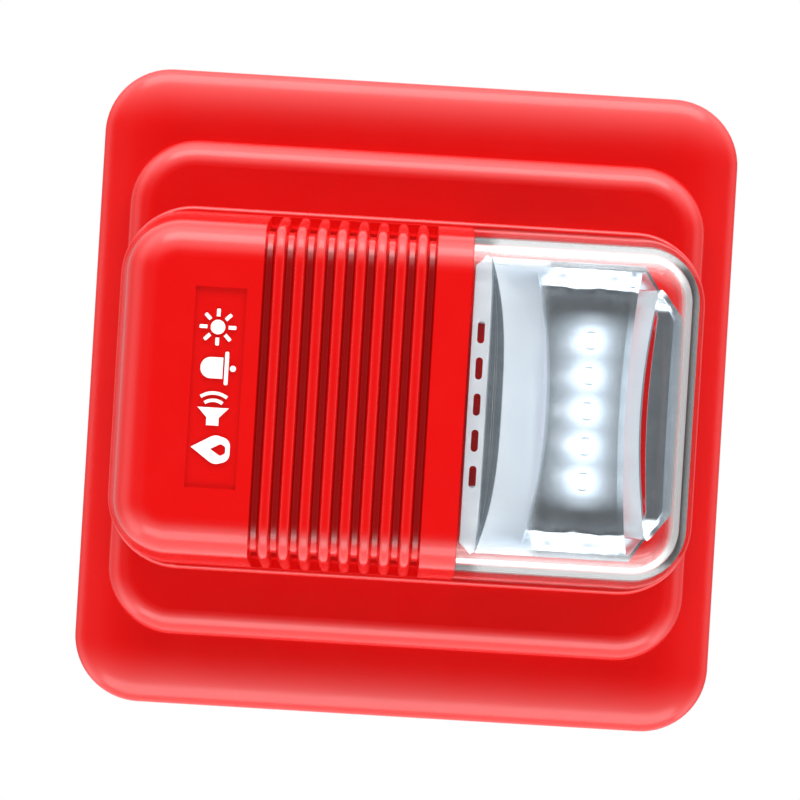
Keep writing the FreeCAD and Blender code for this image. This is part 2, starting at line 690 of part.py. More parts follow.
def dip_switch():
    """The tone and volume switch, on the back of the board, with one open slot for each slider."""
    half = DIP_HALF
    back = BOARD_BACK - DIP_DEPTH
    body = box(DIP_CENTRE.x - half.x, DIP_CENTRE.x + half.x, DIP_CENTRE.y - half.y, DIP_CENTRE.y + half.y,
               back, BOARD_BACK)
    slots = [box(dip_slider_x(way) - 0.65, dip_slider_x(way) + 0.65, DIP_CENTRE.y - 1.9, DIP_CENTRE.y + 1.9,
                 back - 1, back + 1.6) for way in range(DIP_WAYS)]
    return cut(body, slots)


def dip_slider(way):
    x = dip_slider_x(way)
    back = BOARD_BACK - DIP_DEPTH
    y = DIP_CENTRE.y - DIP_TRAVEL / 2
    foot = box(x - 0.55, x + 0.55, y - 0.8, y + 0.8, back + 0.5, back + 1.5)
    knob = box(x - 0.5, x + 0.5, y - 0.5, y + 0.5, back - 0.7, back + 0.5)
    return fuse([foot, knob])


# ==== rear cover ==================================================================================

def rear_cover():
    """Closes the back of the head. Its pocket clears the terminal block and the field wires."""
    back = COVER_BACK
    front = COVER_BACK + COVER
    sheet = rounded_plate(COVER_HALF, COVER_HALF, 8.0, back, front)
    pocket = box(*POCKET_X, *POCKET_Y, back, POCKET_TOP)
    hollow = box(POCKET_X[0] + POCKET_SKIN, POCKET_X[1] - POCKET_SKIN,
                 POCKET_Y[0] + POCKET_SKIN, POCKET_Y[1] - POCKET_SKIN, back - 1, POCKET_TOP - POCKET_SKIN)
    window_half = DIP_HALF + V(0.3, 0.3, 0)
    window = box(DIP_CENTRE.x - window_half.x, DIP_CENTRE.x + window_half.x,
                 DIP_CENTRE.y - window_half.y, DIP_CENTRE.y + window_half.y, POCKET_TOP - 3, POCKET_TOP + 1)
    blade_slots = [box(x - 0.7, x + 0.7, BLADE_Y - 1.9, BLADE_Y + 1.9, POCKET_TOP - 3, POCKET_TOP + 1)
                   for x in way_places()]
    holes = [rod(x, y, back - 1, front + 1, 1.5) for x, y in COVER_SCREWS]
    holes += [rod(x, y, back - 1, front + 4, PEG_R + PEG_FIT) for x, y in PEGS]
    sockets = [rod(x, y, back, front + 1.5, PEG_R + 1.6) for x, y in PEGS]
    arm_slots = [box(side * ARM_X - 1.9, side * ARM_X + 1.9, -ARM_HALF_Y - 0.6, ARM_HALF_Y + 0.6,
                     back - 1, front + 1) for side in (-1, 1)]
    return cut(fuse([sheet, pocket] + sockets), [hollow, window] + blade_slots + holes + arm_slots)


def cover_screws():
    return Part.makeCompound([self_tapping_screw(x, y, COVER_BACK, 9) for x, y in COVER_SCREWS])


def contact_blades():
    """The four blades that plug the head into the terminal block."""
    blades = []
    for x in way_places():
        blade = box(x - 0.4, x + 0.4, BLADE_Y - 1.5, BLADE_Y + 1.5, BAR_Z[1] + 0.6, BOARD_BACK)
        blades.append(blade.makeChamfer(0.25, blade.Faces[4].Edges))
    return Part.makeCompound(blades)


# ==== mounting plate and terminals ================================================================

def slot(x, y, length, along_x, z0, z1):
    half = length / 2 - SLOT_R
    ends = [V(-half, 0, 0), V(half, 0, 0)] if along_x else [V(0, -half, 0), V(0, half, 0)]
    bores = [rod(x + end.x, y + end.y, z0, z1, SLOT_R) for end in ends]
    middle = box(x - half, x + half, y - SLOT_R, y + SLOT_R, z0, z1) if along_x else \
        box(x - SLOT_R, x + SLOT_R, y - half, y + half, z0, z1)
    return fuse(bores + [middle])


def snap_arm(side):
    inner = side * (ARM_X - ARM / 2)
    outer = side * (ARM_X + ARM / 2)
    stem = box(min(inner, outer), max(inner, outer), -ARM_HALF_Y, ARM_HALF_Y, PLATE - 0.5, ARM_TOP)
    tip = outer + side * ARM_BARB
    barb = Part.Face(Part.makePolygon([V(outer, 0, ARM_TOP), V(tip, 0, ARM_TOP - 1.2),
                                       V(outer, 0, ARM_TOP - 2.4), V(outer, 0, ARM_TOP)]))
    return [stem, barb.translated(V(0, -ARM_HALF_Y, 0)).extrude(V(0, 2 * ARM_HALF_Y, 0))]


def mounting_plate():
    sheet = rounded_plate(PLATE_HALF, PLATE_HALF, 10.0, 0, PLATE)
    rim = rounded_plate(PLATE_HALF, PLATE_HALF, 10.0, PLATE - 0.5, PLATE_RIM_TOP)
    rim = rim.cut(rounded_plate(PLATE_HALF - PLATE_RIM, PLATE_HALF - PLATE_RIM, 8.0, 0, 10))
    pegs = [rod(x, y, PLATE - 0.5, COVER_BACK + COVER + 1, PEG_R) for x, y in PEGS]
    holes = [slot(side * BOX_SPACING / 2, 0, SLOT_LENGTH, True, -1, PLATE + 1) for side in (-1, 1)]
    holes += [slot(0, side * GANG_SPACING / 2, 6.0, False, -1, PLATE + 1) for side in (-1, 1)]
    holes += [rod(0, CABLE_Y, -1, PLATE + 1, CABLE_R)]
    holes += [rod(x, y, -1, PLATE + 1, 1.6) for x, y in block_stakes()]
    return cut(fuse([sheet, rim] + pegs + snap_arm(-1) + snap_arm(1)), holes)


def way_places():
    return [WAY_PITCH * (way - (WAYS - 1) / 2) for way in range(WAYS)]


def block_stakes():
    return [(-17.0, -17.0), (17.0, -29.0)]


def terminal_block():
    """The moulded block: a cage chamber, a screw hole, a wire mouth and a blade socket for each way."""
    block = box(-BLOCK_HALF_X, BLOCK_HALF_X, *BLOCK_Y, PLATE, BLOCK_TOP)
    stakes = [rod(x, y, 0.4, PLATE, 1.5) for x, y in block_stakes()]
    tools = []
    room = CAGE_HALF + 0.15
    for x in way_places():
        tools.append(box(x - room, x + room, SCREW_Y - room, SCREW_Y + room, PLATE + 0.5, CAGE_Z[1] + 0.2))
        tools.append(rod(x, SCREW_Y, CAGE_Z[1], BLOCK_TOP + 1, TERMINAL_HEAD_R + 0.2))
        tools.append(box(x - 2.2, x + 2.2, SCREW_Y, BLOCK_Y[1] + 1, PLATE + 0.6, BAR_Z[0]))
        tools.append(box(x - 1.5, x + 1.5, BLADE_Y - 2.1, SCREW_Y, BAR_Z[0] - 0.1, BAR_Z[1] + 0.1))
        tools.append(box(x - 1.5, x + 1.5, BLADE_Y - 2.1, BLADE_Y + 2.1, BAR_Z[0] - 0.1, BLOCK_TOP + 1))
    return cut(fuse([block] + stakes), tools)


def contact_clips():
    """A bar under each screw, which ends in two leaves that grip the blade."""
    clips = []
    for x in way_places():
        bar = box(x - 1.4, x + 1.4, BLADE_Y - 2.0, SCREW_Y + 2.0, *BAR_Z)
        leaves = [box(x - 0.95, x - 0.45, BLADE_Y - 1.6, BLADE_Y + 1.6, BAR_Z[1], BLOCK_TOP - 1.2),
                  box(x + 0.45, x + 0.95, BLADE_Y - 1.6, BLADE_Y + 1.6, BAR_Z[1], BLOCK_TOP - 1.2)]
        clips.append(fuse([bar] + leaves))
    return Part.makeCompound(clips)


def terminal_screw(way):
    x = way_places()[way]
    shank = rod(x, SCREW_Y, BAR_Z[1] + 0.05, CAGE_Z[1] + 0.3, TERMINAL_THREAD_R)
    head = rod(x, SCREW_Y, CAGE_Z[1] + 0.3, BLOCK_TOP - 0.2, TERMINAL_HEAD_R)
    slit = box(x - 3, x + 3, SCREW_Y - 0.35, SCREW_Y + 0.35, BLOCK_TOP - 1.1, BLOCK_TOP)
    return fuse([shank, head]).cut(slit)


def terminal_cage(way):
    """The cage that the screw draws up, to grip a wire against the bar."""
    x = way_places()[way]
    low, high = CAGE_Z
    block = box(x - CAGE_HALF, x + CAGE_HALF, SCREW_Y - CAGE_HALF, SCREW_Y + CAGE_HALF, low, high)
    window = box(x - CAGE_HALF + CAGE_SIDE, x + CAGE_HALF - CAGE_SIDE, SCREW_Y - 5, SCREW_Y + 5,
                 low + CAGE_FLOOR, high - CAGE_ROOF)
    bore = rod(x, SCREW_Y, high - CAGE_ROOF - 0.5, high + 1, TERMINAL_THREAD_R + TERMINAL_FIT)
    return cut(block, [window, bore])


# ==== the whole object ============================================================================

def all_pieces():
    pieces = {
        "base_housing": base_housing(),
        "front_cover": front_cover(),
        "label_marks": label_marks(),
        "lens": lens(),
        "reflector": reflector(),
        "led_board": led_board(),
        "leds": leds(),
        "led_pin_header": led_pin_header(),
        "sound_chamber": sound_chamber(),
        "piezo_gasket": piezo_gasket(),
        "piezo_plate": piezo_plate(),
        "piezo_ceramic": piezo_ceramic(),
        "piezo_ring": piezo_ring(),
        "piezo_leads": piezo_leads(),
        "chamber_screws": chamber_screws(),
        "main_board": main_board(),
        "board_screws": board_screws(),
        "capacitors": capacitors(),
        "inductor": inductor(),
        "transformer": transformer(),
        "chips": chips(),
        "small_parts": small_parts(),
        "dip_switch": dip_switch(),
        "contact_blades": contact_blades(),
        "rear_cover": rear_cover(),
        "cover_screws": cover_screws(),
        "mounting_plate": mounting_plate(),
        "terminal_block": terminal_block(),
        "contact_clips": contact_clips(),
    }
    for way in range(DIP_WAYS):
        pieces[f"dip_slider_{way + 1}"] = dip_slider(way)
    for way in range(WAYS):
        pieces[f"terminal_screw_{way + 1}"] = terminal_screw(way)
        pieces[f"terminal_cage_{way + 1}"] = terminal_cage(way)
    return pieces


def hang(shape):
    return shape.rotated(V(), X_AXIS, 90)


os.makedirs("parts", exist_ok=True)
for name, shape in all_pieces().items():
    hung = hang(shape)
    print(f"{name}: {len(hung.Solids)} solids, {hung.Volume:.0f} mm3, valid {hung.isValid()}")
    hung.exportStep(f"parts/{name}.step")
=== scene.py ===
"""Looks of the wall-mounted horn strobe: materials, the detailed bowl and lamps, camera and light."""

import math

import bmesh
import bpy
from mathutils import Matrix, Vector


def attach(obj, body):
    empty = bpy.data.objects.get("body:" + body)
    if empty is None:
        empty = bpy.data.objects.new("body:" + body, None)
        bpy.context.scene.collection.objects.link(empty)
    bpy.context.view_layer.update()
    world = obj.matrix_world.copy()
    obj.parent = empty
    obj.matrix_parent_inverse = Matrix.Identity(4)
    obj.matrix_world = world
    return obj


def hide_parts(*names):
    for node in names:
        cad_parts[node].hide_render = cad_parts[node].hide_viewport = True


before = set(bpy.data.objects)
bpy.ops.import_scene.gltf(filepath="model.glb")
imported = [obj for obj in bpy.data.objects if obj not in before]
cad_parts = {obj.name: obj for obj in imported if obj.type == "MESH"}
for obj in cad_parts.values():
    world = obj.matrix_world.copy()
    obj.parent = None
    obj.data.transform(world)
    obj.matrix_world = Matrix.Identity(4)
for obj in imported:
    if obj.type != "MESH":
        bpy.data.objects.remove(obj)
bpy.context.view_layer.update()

MM = 0.001


def place(x, y, depth):
    """x to the right and y up in millimetres, depth out from the wall, as a point in the frame."""
    return Vector((x * MM, -depth * MM, y * MM))


# Camera, floor and light ------------------------------------------------------------------------

VIEW_DISTANCE = 0.70
VIEW_SHIFT = (-0.0012, 0.0)      # where the camera looks, right and up of the object's middle
VIEW_ROLL = math.radians(3.45)
FOCAL_LENGTH = 164.5

ROOM_ABOVE = 2.1                 # brightness straight above and below
ROOM_FRONT = 0.08                # on the camera's side
ROOM_SIDE = 0.24                 # to the left and right of the camera
ROOM_BEYOND = 0.80               # added beside and behind the object
ROOM_BEHIND = 0.45               # share of it all that is left straight behind the object

# Where the brightness of the room changes, as parts of a direction of length 1: up or down for the
# first, and away from the camera for the others.
ABOVE_SPAN = (0.18, 0.85)
SIDE_SPAN = (-0.97, -0.80)
BEYOND_SPAN = (-0.55, -0.12)
BEHIND_SPAN = (0.02, 0.40)

FLOOR_RADIUS = 0.45
FLOOR_HEIGHT = -0.55
SOFTBOX_SIZE = (0.80, 0.30)


def add_camera():
    camera = bpy.data.objects.new("camera", bpy.data.cameras.new("camera"))
    camera.data.lens = FOCAL_LENGTH
    camera.data.sensor_width = 36.0
    camera.data.clip_start = 0.01
    camera.location = (VIEW_SHIFT[0], -VIEW_DISTANCE, VIEW_SHIFT[1])
    camera.rotation_euler = (Matrix.Rotation(math.radians(90), 3, "X")
                             @ Matrix.Rotation(VIEW_ROLL, 3, "Z")).to_euler()
    bpy.context.scene.collection.objects.link(camera)
    bpy.context.scene.camera = camera


def add_softbox(name, location, watts):
    """An area light that faces the middle of the object."""
    data = bpy.data.lights.new(name, "AREA")
    data.shape = "RECTANGLE"
    data.size, data.size_y = SOFTBOX_SIZE
    data.energy = watts
    light = bpy.data.objects.new(name, data)
    light.location = location
    light.rotation_euler = (place(0, 0, 25) - Vector(location)).to_track_quat("-Z", "Y").to_euler()
    bpy.context.scene.collection.objects.link(light)


def ramp(nodes, links, value, start, end, low, high):
    """A number that runs smoothly from low to high as value goes from start to end."""
    step = nodes.new("ShaderNodeMapRange")
    step.interpolation_type = "SMOOTHSTEP"
    step.inputs["From Min"].default_value = start
    step.inputs["From Max"].default_value = end
    step.inputs["To Min"].default_value = low
    step.inputs["To Max"].default_value = high
    links.new(value, step.inputs["Value"])
    return step.outputs["Result"]


def combine(nodes, links, operation, first, second):
    """Two sockets, or a socket and a number, put together by a Math node."""
    math_node = nodes.new("ShaderNodeMath")
    math_node.operation = operation
    for socket, value in zip(math_node.inputs, (first, second)):
        if isinstance(value, (int, float)):
            socket.default_value = value
        else:
            links.new(value, socket)
    return math_node.outputs[0]


def size_of(nodes, links, value):
    """value without its sign."""
    return combine(nodes, links, "ABSOLUTE", value, 0.0)


def product(nodes, links, first, second):
    return combine(nodes, links, "MULTIPLY", first, second)


def total(nodes, links, first, second):
    return combine(nodes, links, "ADD", first, second)


def room_brightness(nodes, links, away, up):
    """Brightness of the room in a direction, from its parts away from the camera and up."""
    above = ramp(nodes, links, size_of(nodes, links, up), *ABOVE_SPAN, 0.0, ROOM_ABOVE)
    aside = ramp(nodes, links, away, *SIDE_SPAN, ROOM_FRONT, ROOM_SIDE)
    beyond = ramp(nodes, links, away, *BEYOND_SPAN, 0.0, ROOM_BEYOND)
    level = total(nodes, links, total(nodes, links, above, aside), beyond)
    behind = ramp(nodes, links, away, *BEHIND_SPAN, 1.0, ROOM_BEHIND)
    return product(nodes, links, level, behind)


def add_studio():
    """A white room: bright above and below, soft at the sides, dim where the camera stands.

    The camera itself sees plain white.
    """
    world = bpy.data.worlds.new("studio")
    bpy.context.scene.world = world
    world.use_nodes = True
    nodes, links = world.node_tree.nodes, world.node_tree.links
    nodes.clear()
    direction = nodes.new("ShaderNodeTexCoord")
    split = nodes.new("ShaderNodeSeparateXYZ")
    links.new(direction.outputs["Generated"], split.inputs[0])
    level = room_brightness(nodes, links, split.outputs["Y"], split.outputs["Z"])
    lit = nodes.new("ShaderNodeBackground")
    lit.inputs["Color"].default_value = (0.97, 0.99, 1.0, 1)
    links.new(level, lit.inputs["Strength"])
    seen = nodes.new("ShaderNodeBackground")
    seen.inputs["Color"].default_value = (1, 1, 1, 1)
    seen.inputs["Strength"].default_value = 1.0
    ray = nodes.new("ShaderNodeLightPath")
    either = nodes.new("ShaderNodeMixShader")
    output = nodes.new("ShaderNodeOutputWorld")
    links.new(ray.outputs["Is Camera Ray"], either.inputs["Fac"])
    links.new(lit.outputs[0], either.inputs[1])
    links.new(seen.outputs[0], either.inputs[2])
    links.new(either.outputs[0], output.inputs["Surface"])


def add_floor():
    mesh = bpy.data.meshes.new("floor")
    floor = bpy.data.objects.new("floor", mesh)
    form = bmesh.new()
    bmesh.ops.create_circle(form, cap_ends=True, radius=FLOOR_RADIUS, segments=96)
    form.to_mesh(mesh)
    form.free()
    floor.location = (0, 0, FLOOR_HEIGHT)
    bpy.context.scene.collection.objects.link(floor)
    mesh.materials.append(plastic("pale_floor", (0.82, 0.82, 0.81), 0.7, grain=(300, 0.00002)))


# Materials --------------------------------------------------------------------------------------

def new_material(name):
    """An empty material with one Principled shader, and its nodes and links."""
    material = bpy.data.materials.new(name)
    material.use_nodes = True
    nodes, links = material.node_tree.nodes, material.node_tree.links
    nodes.clear()
    shader = nodes.new("ShaderNodeBsdfPrincipled")
    output = nodes.new("ShaderNodeOutputMaterial")
    links.new(shader.outputs[0], output.inputs["Surface"])
    return material, nodes, links, shader


def position(nodes, links):
    """The x, y and z of a point, in the object's own metres."""
    where = nodes.new("ShaderNodeTexCoord")
    split = nodes.new("ShaderNodeSeparateXYZ")
    links.new(where.outputs["Object"], split.inputs[0])
    return split.outputs["X"], split.outputs["Y"], split.outputs["Z"]


def band(nodes, links, value, span, low, high):
    """A ramp over a position: span is where it starts and ends, in millimetres."""
    return ramp(nodes, links, value, span[0] * MM, span[1] * MM, low, high)


def noise(nodes, links, scale, detail=3.0, stretch=(1, 1, 1)):
    """Noise in the object's own metres: scale is in features per metre."""
    where = nodes.new("ShaderNodeTexCoord")
    mapping = nodes.new("ShaderNodeMapping")
    mapping.inputs["Scale"].default_value = stretch
    texture = nodes.new("ShaderNodeTexNoise")
    texture.inputs["Scale"].default_value = scale
    texture.inputs["Detail"].default_value = detail
    links.new(where.outputs["Object"], mapping.inputs["Vector"])
    links.new(mapping.outputs["Vector"], texture.inputs["Vector"])
    return texture.outputs["Fac"]


def spread(nodes, links, value, low, high):
    """value, which runs from 0.15 to 0.85 in a noise, as a number from low to high."""
    span = nodes.new("ShaderNodeMapRange")
    span.inputs["From Min"].default_value = 0.15
    span.inputs["From Max"].default_value = 0.85
    span.inputs["To Min"].default_value = low
    span.inputs["To Max"].default_value = high
    links.new(value, span.inputs["Value"])
    return span.outputs["Result"]


def blend_colours(nodes, links, value, first, second):
    mix = nodes.new("ShaderNodeMix")
    mix.data_type = "RGBA"
    mix.inputs["A"].default_value = (*first, 1)
    mix.inputs["B"].default_value = (*second, 1)
    links.new(value, mix.inputs["Factor"])
    return mix.outputs["Result"]


def roughen(nodes, links, shader, value, height):
    """Bump of the given height in metres."""
    bump = nodes.new("ShaderNodeBump")
    bump.inputs["Distance"].default_value = height
    bump.inputs["Strength"].default_value = 1.0
    links.new(value, bump.inputs["Height"])
    links.new(bump.outputs["Normal"], shader.inputs["Normal"])


def shades_of(colour, amount):
    darker = tuple(c * (1 - amount) for c in colour)
    lighter = tuple(min(1.0, c * (1 + amount)) for c in colour)
    return darker, lighter


def plastic(name, colour, roughness, grain=(1600, 0.000004), mottle=0.05, stretch=(1, 1, 1)):
    """Moulded plastic: slight cloudiness, uneven gloss, and a fine grain of (features per metre, height)."""
    material, nodes, links, shader = new_material(name)
    clouds = spread(nodes, links, noise(nodes, links, 45, 2), 0, 1)
    links.new(blend_colours(nodes, links, clouds, *shades_of(colour, mottle)), shader.inputs["Base Color"])
    gloss = noise(nodes, links, 160, 4)
    links.new(spread(nodes, links, gloss, roughness * 0.85, roughness * 1.15), shader.inputs["Roughness"])
    roughen(nodes, links, shader, noise(nodes, links, grain[0], 3, stretch), grain[1])
    return material


def metal(name, colour, roughness, stretch=(1, 1, 1), marks=(2500, 0.000003)):
    """Bare or plated metal with fine marks, drawn out along the axes where stretch is small."""
    material, nodes, links, shader = new_material(name)
    shader.inputs["Metallic"].default_value = 1.0
    tarnish = spread(nodes, links, noise(nodes, links, 220, 4), 0, 1)
    links.new(blend_colours(nodes, links, tarnish, *shades_of(colour, 0.08)), shader.inputs["Base Color"])
    scuffs = noise(nodes, links, marks[0] / 4, 3, stretch)
    links.new(spread(nodes, links, scuffs, roughness * 0.7, roughness * 1.4), shader.inputs["Roughness"])
    roughen(nodes, links, shader, noise(nodes, links, marks[0], 2, stretch), marks[1])
    return material


RED = (0.66, 0.0016, 0.0012)
# The darker red of the painted shade on the floors of the grooves.
RED_PAINTED_GROOVE_SHADE = (0.33, 0.0008, 0.0006)
GROOVE_SINK = (-47.85, -46.7)    # y from just below the front face to the floor of a groove
GROOVE_ENDS = (25.0, 27.5)       # height over which the front face rounds off
RIBS_X = -11.0                   # middle of the ribbed part
RIBS_REACH = (16.8, 17.0)        # where it ends, from its middle


def painted_groove_shade(nodes, links):
    """Mask of the painted shade: 0 on the front face and 1 on the floors of the grooves, where little light
    reaches.
    """
    x, y, z = position(nodes, links)
    sunk = band(nodes, links, y, GROOVE_SINK, 0.0, 1.0)
    on_front = band(nodes, links, size_of(nodes, links, z), GROOVE_ENDS, 1.0, 0.0)
    from_middle = size_of(nodes, links, combine(nodes, links, "SUBTRACT", x, RIBS_X * MM))
    in_ribs = band(nodes, links, from_middle, RIBS_REACH, 1.0, 0.0)
    return product(nodes, links, product(nodes, links, sunk, on_front), in_ribs)


def red_plastic():
    """Glossy red moulding: a satin skin with a faint orange peel, and a darker red painted down in the
    grooves as shade.
    """
    material = plastic("red_shell", RED, 0.24, grain=(700, 0.000004), mottle=0.03)
    nodes, links = material.node_tree.nodes, material.node_tree.links
    shader = nodes["Principled BSDF"]
    shaded = nodes.new("ShaderNodeMix")
    shaded.data_type = "RGBA"
    shaded.inputs["B"].default_value = (*RED_PAINTED_GROOVE_SHADE, 1)
    links.new(shader.inputs["Base Color"].links[0].from_socket, shaded.inputs["A"])
    # Painted shade: the colour turns to a darker red on the floors of the grooves.
    links.new(painted_groove_shade(nodes, links), shaded.inputs["Factor"])
    links.new(shaded.outputs["Result"], shader.inputs["Base Color"])
    shader.inputs["Specular IOR Level"].default_value = 0.45
    shader.inputs["Coat Weight"].default_value = 0.35
    shader.inputs["Coat Roughness"].default_value = 0.16
    return material


# The white of the lens's rounded front edge is a painted highlight: there the lens lets less light through
# and shows white.
LENS_PAINTED_HIGHLIGHT_ENDS = 0.30            # painted highlight: how white the rounded edge is at the top and bottom
LENS_PAINTED_HIGHLIGHT_SIDE = 0.20            # and on the right
LENS_PAINTED_HIGHLIGHT_WALLS = 0.12           # share of it that is left on the walls behind that edge
LENS_PAINTED_HIGHLIGHT_JOINT = 0.25           # share of it that is left by the red body
LENS_ENDS = (26.0, 28.0)         # height, either way, over which the front rounds off
LENS_SIDE = (50.0, 51.6)         # x over which it rounds off on the right
LENS_JOINT = (12.6, 15.6)        # x just beside the red body
LENS_EDGE = (-45.0, -41.5)       # y from the front edge to the walls


def lens_clarity_under_painted_highlight(nodes, links):
    """1 on most of the lens, less on the rounded edge round its front, where white is painted as a highlight
    in place of the bright bands of light there.
    """
    x, y, z = position(nodes, links)
    at_ends = band(nodes, links, size_of(nodes, links, z), LENS_ENDS, 0.0, LENS_PAINTED_HIGHLIGHT_ENDS)
    off_joint = band(nodes, links, x, LENS_JOINT, LENS_PAINTED_HIGHLIGHT_JOINT, 1.0)
    at_ends = product(nodes, links, at_ends, off_joint)
    at_side = band(nodes, links, x, LENS_SIDE, 0.0, LENS_PAINTED_HIGHLIGHT_SIDE)
    painted_highlight = combine(nodes, links, "MAXIMUM", at_ends, at_side)
    at_front = band(nodes, links, y, LENS_EDGE, 1.0, LENS_PAINTED_HIGHLIGHT_WALLS)
    return combine(nodes, links, "SUBTRACT", 1.0, product(nodes, links, painted_highlight, at_front))


def clear_plastic():
    """Clear polycarbonate with faint flow ripples. Lamps' light goes straight through to what is inside."""
    material, nodes, links, shader = new_material("clear_lens")
    shader.inputs["Base Color"].default_value = (0.985, 0.99, 0.99, 1)
    # Painted highlight: the rounded front edge lets less light through and shows white.
    links.new(lens_clarity_under_painted_highlight(nodes, links), shader.inputs["Transmission Weight"])
    shader.inputs["IOR"].default_value = 1.56
    links.new(spread(nodes, links, noise(nodes, links, 90, 3), 0.012, 0.04), shader.inputs["Roughness"])
    roughen(nodes, links, shader, noise(nodes, links, 60, 2, (1, 1, 0.5)), 0.00002)
    ray = nodes.new("ShaderNodeLightPath")
    through = nodes.new("ShaderNodeBsdfTransparent")
    either = nodes.new("ShaderNodeMixShader")
    links.new(ray.outputs["Is Shadow Ray"], either.inputs["Fac"])
    links.new(shader.outputs[0], either.inputs[1])
    links.new(through.outputs[0], either.inputs[2])
    links.new(either.outputs[0], nodes["Material Output"].inputs["Surface"])
    return material


# Painted light on the mirror coat: an emission round the lamps that stands for their light on it.
HALO_RADIUS = 2.8                # millimetres
HALO_FALL = 0.37                 # what is left of a spot one radius from its lamp
COLUMN_GLOW = 0.55               # brightness of the column beside that of the spots
COLUMN_FALL = 0.80               # what is left of the column one radius from its middle
COLUMN_ENDS = (14.5, 19.0)       # height over which spots and column fade out
PAINTED_FAINT_GLOW = 0.035               # painted glow everywhere on the bowl
PAINTED_HALO_STRENGTH = 1.2
SATIN = 0.40                     # roughness of the satin areas
SATIN_FLANGE = (14.0, 14.6)      # x where the satin of the left flange ends
SATIN_WALL = (22.5, 26.0)        # x where the satin of the left wall ends
END_WALL_FOOT = (21.5, 22.5)     # height of the foot of the end walls


def squared_radii(nodes, links, distance):
    """The square of a distance, which is counted in halo radii."""
    radii = combine(nodes, links, "DIVIDE", distance, HALO_RADIUS * MM)
    return product(nodes, links, radii, radii)


def painted_lamp_halo(nodes, links):
    """Painted light: emission on the coating that stands for the lamps' light scattered round them: a spot at
    each lamp and a faint column.
    """
    x, _, z = position(nodes, links)
    across = squared_radii(nodes, links, combine(nodes, links, "SUBTRACT", x, LAMP_X * MM))
    upward = squared_radii(nodes, links, combine(nodes, links, "PINGPONG", z, LAMP_PITCH * MM / 2))
    spots = combine(nodes, links, "POWER", HALO_FALL, total(nodes, links, across, upward))
    column = product(nodes, links, combine(nodes, links, "POWER", COLUMN_FALL, across), COLUMN_GLOW)
    inside = band(nodes, links, size_of(nodes, links, z), COLUMN_ENDS, 1.0, 0.0)
    glow = product(nodes, links, total(nodes, links, spots, column), inside)
    return product(nodes, links, total(nodes, links, glow, PAINTED_FAINT_GLOW), PAINTED_HALO_STRENGTH)


def satin_areas(nodes, links, x, height):
    """Roughness that the left flange and the wide left wall have more than the rest of the bowl."""
    flange = band(nodes, links, x, SATIN_FLANGE, SATIN, 0.0)
    bow = combine(nodes, links, "POWER", combine(nodes, links, "DIVIDE", height, RIDGE_REACH * MM), 3.0)
    straightened = total(nodes, links, x, product(nodes, links, bow, RIDGE_BOW * MM))
    past_ridge = band(nodes, links, straightened, (RIDGE_LEFT - 0.2, RIDGE_LEFT + 0.1), 0.0, 1.0)
    wall = product(nodes, links, band(nodes, links, x, SATIN_WALL, SATIN, 0.0), past_ridge)
    return combine(nodes, links, "MAXIMUM", flange, wall)


def mirror_coat():
    """Vacuum-metallised plastic: bright, slightly uneven, softly rippled, satin on its left side, with
    painted light glowing round the lamps.
    """
    material, nodes, links, shader = new_material("mirror_coat")
    shader.inputs["Metallic"].default_value = 1.0
    clouds = spread(nodes, links, noise(nodes, links, 130, 3), 0, 1)
    links.new(blend_colours(nodes, links, clouds, (0.80, 0.85, 0.90), (0.88, 0.92, 0.955)),
              shader.inputs["Base Color"])
    x, _, z = position(nodes, links)
    height = size_of(nodes, links, z)
    satin = satin_areas(nodes, links, x, height)
    polished = band(nodes, links, height, END_WALL_FOOT, 0.07, 0.03)
    fine = spread(nodes, links, noise(nodes, links, 400, 4), 0.02, 0.10)
    rough = total(nodes, links, total(nodes, links, satin, polished), fine)
    links.new(rough, shader.inputs["Roughness"])
    roughen(nodes, links, shader, noise(nodes, links, 200, 1), 0.000015)
    # Painted light: the coat glows round the lamps by its own emission.
    shader.inputs["Emission Color"].default_value = (0.74, 0.87, 1.0, 1)
    links.new(painted_lamp_halo(nodes, links), shader.inputs["Emission Strength"])
    return material


def circuit_board(name, mask, track):
    """Solder mask over straight copper tracks, with small bare pads."""
    material, nodes, links, shader = new_material(name)
    where = nodes.new("ShaderNodeTexCoord")
    cells = nodes.new("ShaderNodeTexVoronoi")
    cells.distance = "CHEBYCHEV"
    cells.inputs["Scale"].default_value = 260
    cells.inputs["Randomness"].default_value = 0.85
    links.new(where.outputs["Object"], cells.inputs["Vector"])
    tracks = nodes.new("ShaderNodeMapRange")
    tracks.inputs["From Min"].default_value = 0.34
    tracks.inputs["From Max"].default_value = 0.40
    links.new(cells.outputs["Distance"], tracks.inputs["Value"])
    pads = nodes.new("ShaderNodeMath")
    pads.operation = "LESS_THAN"
    pads.inputs[1].default_value = 0.07
    links.new(cells.outputs["Distance"], pads.inputs[0])
    covered = blend_colours(nodes, links, tracks.outputs["Result"], mask, track)
    finish = nodes.new("ShaderNodeMix")
    finish.data_type = "RGBA"
    finish.inputs["B"].default_value = (0.75, 0.68, 0.50, 1)
    links.new(covered, finish.inputs["A"])
    links.new(pads.outputs[0], finish.inputs["Factor"])
    links.new(finish.outputs["Result"], shader.inputs["Base Color"])
    links.new(spread(nodes, links, noise(nodes, links, 500, 2), 0.28, 0.42), shader.inputs["Roughness"])
    roughen(nodes, links, shader, tracks.outputs["Result"], 0.00003)
    return material


LAMP_GLOW = 7.0


def lit_phosphor():
    """The lit face of a lamp: white, with a faintly blue grain."""
    material, nodes, links, shader = new_material("lit_phosphor")
    shader.inputs["Base Color"].default_value = (0.95, 0.95, 0.80, 1)
    grains = noise(nodes, links, 4000, 2)
    links.new(spread(nodes, links, grains, 0.35, 0.55), shader.inputs["Roughness"])
    tint = blend_colours(nodes, links, spread(nodes, links, grains, 0, 1), (0.86, 0.93, 1.0), (1.0, 1.0, 1.0))
    links.new(tint, shader.inputs["Emission Color"])
    shader.inputs["Emission Strength"].default_value = LAMP_GLOW
    return material


